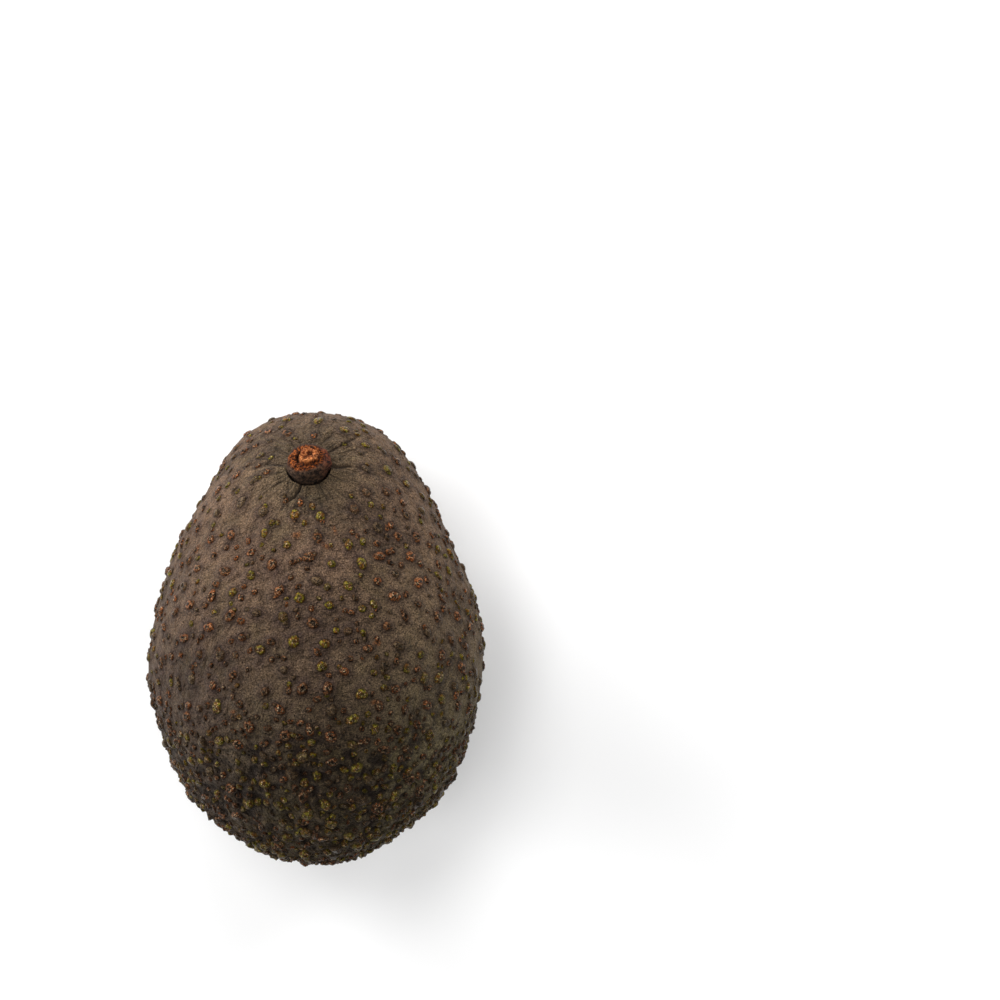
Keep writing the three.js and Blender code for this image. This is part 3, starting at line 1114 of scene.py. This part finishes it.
# Painted shade in the cracks and folds
CREASE_SHADE = colour(30, 22, 18)
SCAB = (colour(60, 34, 20), colour(108, 66, 34))
SCAR_BROWN = colour(50, 36, 26)
# Painted shade inside the stem's socket
SOCKET_SHADE = colour(20, 13, 10)

# Colours of the pebbles' crusts
RUST = (colour(26, 14, 8), colour(108, 66, 38))
BRIGHT_RUST = colour(166, 94, 50)
OLIVE = (colour(112, 70, 18), colour(122, 112, 24))
DARK_OLIVE = colour(36, 26, 6)
PLAIN_CRUST = (colour(44, 32, 24), colour(94, 74, 52))
PIT_DARK = colour(14, 8, 5)
# Painted shade at the edges of the crusts
CRUST_EDGE_SHADE = colour(24, 16, 12)
# Painted highlight on the crusts
PAINTED_GLINT = colour(204, 176, 138)

# Colours of the stem button
BARK = (colour(22, 14, 10), colour(88, 66, 50))
RED_BARK = (colour(34, 12, 8), colour(128, 58, 28))
TORN_WOOD = (colour(34, 12, 4), colour(168, 88, 34))
CORE_WOOD = (colour(110, 48, 18), colour(226, 144, 84))
# Painted shade in the stem's slit, hollow and groove
SLIT_SHADE = colour(12, 6, 3)

# Where the colours change, in millimetres: along the fruit, across it and towards the stem
UPPER_ZONE = (-36, 30)
LOWER_ZONE = (-5, -28)
CRUST_ZONE = (-22, 15)
RIGHT_ZONE = (4, 30)
LEFT_ZONE = (-4, -30)
STREAK_ZONE = (21, 6)

# Dull ground with a dusty bloom that pales it towards its edges, and pebbles that shine a little
SKIN_GLOSS = {
    "Specular IOR Level": 0.07,
    "Sheen Weight": 0.06,
    "Sheen Roughness": 0.45,
    "Sheen Tint": (0.9, 0.74, 0.6, 1),
}
PEBBLE_GLOSS = {
    "Specular IOR Level": 0.16,
    "Specular Tint": (1, 0.8, 0.58, 1),
}
STEM_GLOSS = {"Specular IOR Level": 0.15}


class SkinNoises:
    """The noises that the skin and its pebbles share."""

    def __init__(self, f):
        self.mottle = f.noise(1.3, 2, 0.6)
        self.grain = f.noise(0.4, 2, 0.7)
        self.ragged = f.noise(0.55, 2, 0.6)
        self.specks = f.spots(0.3, 0.42, 0.6)


def skin_ground(f, mottle):
    """Colour of the skin between its pebbles."""
    right, along, _ = f.parts(f.place())
    upper = f.zone(along, UPPER_ZONE)
    patches = f.noise(15, 2, 0.5, 0.6)
    blotches = f.noise(4.6, 3, 0.6, 0.8)
    ground = f.mix(f.mix(*TAN, upper), f.mix(*BROWN, upper), f.step(patches, 0.35, 0.65))
    ground = f.mix(ground, PLUM, f.step(blotches, 0.48, 0.72) * 0.45)
    ground = f.mix(ground, OLIVE_GREEN, f.step(f.noise(9, 2, 0.5, 0.4), 0.5, 0.7) * 0.35)
    right_side = f.zone(right, RIGHT_ZONE)
    ground = f.mix(ground, RIGHT_TINTS[0], right_side * (1 - upper) * 0.6)
    ground = f.mix(ground, RIGHT_TINTS[1], right_side * upper * 0.4)
    ground = f.mix(ground, LEFT_PLUM, f.zone(right, LEFT_ZONE) * (1 - upper) * 0.4)
    ground = f.mix(ground, PALE_MOTTLE, f.step(mottle, 0.55, 0.85) * 0.35)
    ground = f.mix(ground, DARK_MOTTLE, f.step(mottle, 0.45, 0.15) * 0.5)
    streaks, near_stem = stem_streaks(f)
    ground = f.mix(ground, STEM_GREEN, near_stem * 0.4)
    ground = f.mix(ground, DARK_STREAK, f.step(streaks, 0.52, 0.34) * near_stem * 0.65)
    return f.mix(ground, PALE_STREAK, f.step(streaks, 0.55, 0.75) * near_stem * 0.5)


def speckled(f, skin, grain):
    """A colour with the skin's fine felt of light and dark specks."""
    fuzz = f.noise(0.25, 1)
    return skin * (2 * grain) * (-0.6 + 3.2 * fuzz)


def set_gloss(f, gloss):
    for name, value in gloss.items():
        f.shader.inputs[name].default_value = value


def place_on_pebble(f, ragged):
    """Distance from the nearest pebble's middle in ragged radii, and the fact's third number."""
    along, beside, third = f.parts(f.fact_vector("pebble"))
    return f.math("SQRT", along * along + beside * beside) * (0.6 + 0.8 * ragged), third


def skin_colour(f, noises, height, lower):
    """The ground, with painted shade in its valleys, round and at the feet of the pebbles, in its cracks
    and folds and in the socket, painted light on its ridge tops at the blossom end, and its marks over it.
    """
    spot, clear = place_on_pebble(f, noises.ragged)
    # Where painted shadow falls at the feet of the pebbles
    foot = f.step(spot, 1.5, 1.0) * f.step(clear, 0.1, 0.6) * f.step(noises.mottle, 0.35, 0.6)
    skin = skin_ground(f, noises.mottle)
    # Painted shade in the valleys, strongest at the blossom end
    skin = f.mix(skin, VALLEY_SHADE, f.step(height, 0.15, -0.45) * (0.35 + 0.55 * lower))
    # Painted light on the ridge tops at the blossom end
    skin = f.mix(skin, PAINTED_RIDGE_LIGHT, f.step(height, 0.3, 0.9) * lower * 0.5)
    # Painted shade round the pebbles, away from the blossom end
    skin = f.mix(skin, HALO_SHADE, f.fact("halo") * (1 - lower) * 0.45)
    # Painted contact shadow at the feet of the pebbles
    skin = f.mix(skin, FOOT_SHADE, foot * 0.65)
    # Painted shade in the cracks and folds
    skin = f.mix(skin, CREASE_SHADE, f.fact("crease_shade") * 0.8)
    skin = f.mix(skin, skin * 2.0, f.spots(0.24, 0.6, 0.74) * 0.5)
    skin = f.mix(skin, f.mix(*SCAB, noises.specks), f.fact("scab") * 0.8)
    skin = f.mix(skin, SCAR_BROWN, f.fact("scar") * 0.7)
    # Painted shade inside the stem's socket
    skin = f.mix(skin, SOCKET_SHADE, f.fact("socket") * 0.9)
    return speckled(f, skin, noises.grain)


def skin_finish():
    """The dull skin, with lumps that are strongest at the blossom end."""
    f = Finish("avocado_skin")
    noises = SkinNoises(f)
    _, along_fruit, _ = f.parts(f.place())
    lower = f.zone(along_fruit, LOWER_ZONE)
    lumps = f.noise(2.2)
    height = f.fact("height") + (lumps - 0.5) * 1.6
    skin = skin_colour(f, noises, height, lower)

    coarse = f.bump(lumps * (1 + 1.6 * lower), 1.4)
    coarse = f.bump(noises.mottle, 1.0, coarse)
    coarse = f.bump(f.fact("halo"), 0.4, coarse)
    fine = f.bump(noises.grain, 0.35, coarse)
    set_gloss(f, SKIN_GLOSS)
    return f.paint(Base_Color=skin, Roughness=0.7 - 0.3 * (noises.grain - 0.5), Normal=fine)


def crust_colour(f, noises, spot, hollow):
    """Rust, olive and plain crusts with a dark pit, painted shade at their edges and small pale painted
    highlights.
    """
    bright = f.fact("bright")
    knobs = f.spots(0.5, 0.4, 0.58) * f.step(spot, 0.15, 0.45)
    rust = f.mix(*RUST, knobs)
    rust = f.mix(rust, BRIGHT_RUST, f.step(bright, 0.5, 1.0) * knobs * noises.specks)
    green = f.mix(*OLIVE, f.spots(0.8, 0.4, 0.6))
    green = f.mix(DARK_OLIVE, green, (0.25 + 0.75 * knobs) * (0.5 + 0.5 * bright))
    plain = f.mix(*PLAIN_CRUST, noises.specks)
    _, along_fruit, _ = f.parts(f.place())
    upper = f.zone(along_fruit, CRUST_ZONE)
    tips = f.mix(rust * (0.5 + 0.5 * upper), green * (0.65 + 0.35 * upper), f.fact("olive"))
    tips = f.mix(plain * (0.5 + 0.5 * upper), tips, f.step(bright, 0.05, 0.35))
    tips = f.mix(tips, PIT_DARK, hollow * 0.9)
    # Painted shade on the crusts' falling edges
    tips = f.mix(tips, CRUST_EDGE_SHADE, f.step(spot, 0.7, 1.0) * 0.75)
    # Painted highlights: small pale specks on the crusts
    painted_glints = f.spots(0.28, 0.58, 0.68) * f.step(spot, 0.9, 0.7)
    return f.mix(tips, PAINTED_GLINT, painted_glints * (0.2 + 0.45 * bright))


def pebble_finish():
    """Crusts on the pebbles, over skin of the colour between them, darkened halfway with painted shadow.
    """
    f = Finish("avocado_pebbles")
    noises = SkinNoises(f)
    spot, _ = place_on_pebble(f, noises.ragged)
    tip = f.step(spot, 1.1, 0.9)
    hollow = f.step(spot, 0.5, 0.2) * f.fact("pit")
    # Painted shadow darkens the pebbles' sides halfway
    ground = f.mix(skin_ground(f, noises.mottle), FOOT_SHADE, 0.5)
    skin = f.mix(ground, crust_colour(f, noises, spot, hollow), tip * 0.95)

    dome = f.math("MAXIMUM", 1 - spot * spot, 0) - 0.6 * hollow
    coarse = f.bump(dome, 1.3)
    coarse = f.bump(noises.ragged, 0.9, coarse)
    fine = f.bump(noises.grain, 0.35, coarse)
    set_gloss(f, PEBBLE_GLOSS)
    return f.paint(Base_Color=speckled(f, skin, noises.grain), Roughness=0.6 - 0.3 * tip, Normal=fine)


def stem_streaks(f):
    """Fine lines that run out from the stem, and how near the stem each place is."""
    axis = tuple(STEM_AXIS)
    offset = f.vector("SUBTRACT", f.place(), tuple(STEM_FOOT * MM))
    lift = f.node("VectorMath", {"operation": "DOT_PRODUCT"}, {0: offset, 1: axis}, "Value")
    flat = f.vector("SUBTRACT", offset, f.dim(axis, lift))
    away = f.node("VectorMath", {"operation": "LENGTH"}, {0: flat}, "Value")
    way = f.dim(f.vector("NORMALIZE", flat), 14 * MM)
    bent = f.vector("ADD", way, f.dim(flat, 0.12))
    return f.noise(1.0, 2, 0.6, 0.0, bent), f.zone(away, STREAK_ZONE)


def stem_finish():
    """Grey-brown bark, redder at its right, round a torn top of rust and orange wood, with painted shade
    in its slit, hollow and groove.
    """
    f = Finish("avocado_stem")
    grain = f.noise(0.35, 2, 0.7)
    fibres = f.step(f.noise(0.3, 2, 0.6), 0.35, 0.65)
    rough = f.noise(0.7, 3, 0.7, 0.4)
    bark = f.mix(*BARK, f.step(rough, 0.36, 0.68))
    bark = f.mix(bark, f.mix(*RED_BARK, f.step(rough, 0.36, 0.62)), f.fact("red") * 0.75)
    shred = f.step(f.fact("shred"), -0.4, 0.4) * (0.25 + 0.75 * fibres)
    core = f.mix(*CORE_WOOD, shred)
    core = f.mix(core, core * 0.5, f.spots(1.1, 0.5, 0.65))
    top = f.mix(f.mix(*TORN_WOOD, shred), core, f.fact("core"))
    stem = f.mix(bark, top, f.fact("torn"))
    # Painted shade in the slit, the hollow and the groove
    stem = f.mix(stem, SLIT_SHADE, f.fact("dark") * 0.95)
    normal = f.bump(rough, 1.0)
    normal = f.bump(grain, 0.3, normal)
    set_gloss(f, STEM_GLOSS)
    return f.paint(Base_Color=stem, Roughness=0.85 - 0.1 * grain, Normal=normal)


# Soft lamps round the fruit: turn from the far side towards the left, angle up, and power in watts
LAMPS = (
    (0, 15, 5.6),
    (45, 15, 10.3),
    (90, 15, 7.8),
    (90, 35, 0.9),
    (315, 35, 3.6),
    (0, 55, 1.2),
    (45, 68, 3.4),
    (135, 72, 2.2),
    (225, 72, 2.6),
)
LAMP_SIZE = 0.42  # this, their distance and the table's radius are in metres
LAMP_DISTANCE = 1.2
ROOM_LIGHT = 0.2
TABLE_RADIUS = 3
TABLE_SIDES = 96
TABLE_WHITE = 0.93


def lamp(turn, rise, power):
    """A soft round lamp that faces the fruit."""
    turn, rise = math.radians(turn), math.radians(rise)
    way = Vector((-math.sin(turn) * math.cos(rise), math.cos(turn) * math.cos(rise), math.sin(rise)))
    light = bpy.data.lights.new("lamp", "AREA")
    light.shape = "DISK"
    light.size = LAMP_SIZE
    light.energy = power
    fixture = bpy.data.objects.new("lamp", light)
    fixture.location = way * LAMP_DISTANCE + Vector((0, 0, HEIGHT / 2 * MM))
    fixture.rotation_euler = (-way).to_track_quat("-Z", "Y").to_euler()
    bpy.context.scene.collection.objects.link(fixture)


def make_camera():
    lens = bpy.data.cameras.new("camera")
    lens.lens = LENS
    lens.sensor_width = SENSOR
    camera = bpy.data.objects.new("camera", lens)
    camera.location = CAMERA * MM
    bpy.context.scene.collection.objects.link(camera)
    bpy.context.scene.camera = camera


def make_studio():
    """A white table with soft light from all round, strongest from the far left."""
    table = bmesh.new()
    bmesh.ops.create_circle(table, cap_ends=True, segments=TABLE_SIDES, radius=TABLE_RADIUS)
    mesh = mesh_from(table, "table")
    floor = show(mesh, "table")
    f = Finish("table")
    mesh.materials.append(f.paint(Base_Color=(TABLE_WHITE,) * 3 + (1,), Roughness=0.8))
    for turn, rise, power in LAMPS:
        lamp(turn, rise, power)
    world = bpy.data.worlds.new("room")
    world.use_nodes = True
    world.node_tree.nodes["Background"].inputs["Color"].default_value = (1, 1, 1, 1)
    world.node_tree.nodes["Background"].inputs["Strength"].default_value = ROOM_LIGHT
    bpy.context.scene.world = world
    bpy.context.scene.view_settings.view_transform = "Standard"


def dress(piece, finish, node):
    piece.data.materials.append(finish)
    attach(piece, "root")
    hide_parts(node)


make_camera()
make_studio()
pebbles = Pebbles()
cracks = [np.array([seen_at(pixel) for pixel in course]) for course in CRACKS]
large, small = np.flatnonzero(pebbles.large), np.flatnonzero(~pebbles.large)
crusts = pebble_finish()
for name, chosen, rings, sides in (
    ("avocado_large_pebbles", large, LARGE_RINGS, LARGE_SIDES),
    ("avocado_small_pebbles", small, SMALL_RINGS, SMALL_SIDES),
):
    dress(make_pebbles(name, pebbles, chosen, rings, sides, cracks), crusts, "fruit")
dress(make_skin(pebbles, cracks), skin_finish(), "fruit")
dress(make_stem_button(), stem_finish(), "stem_button")
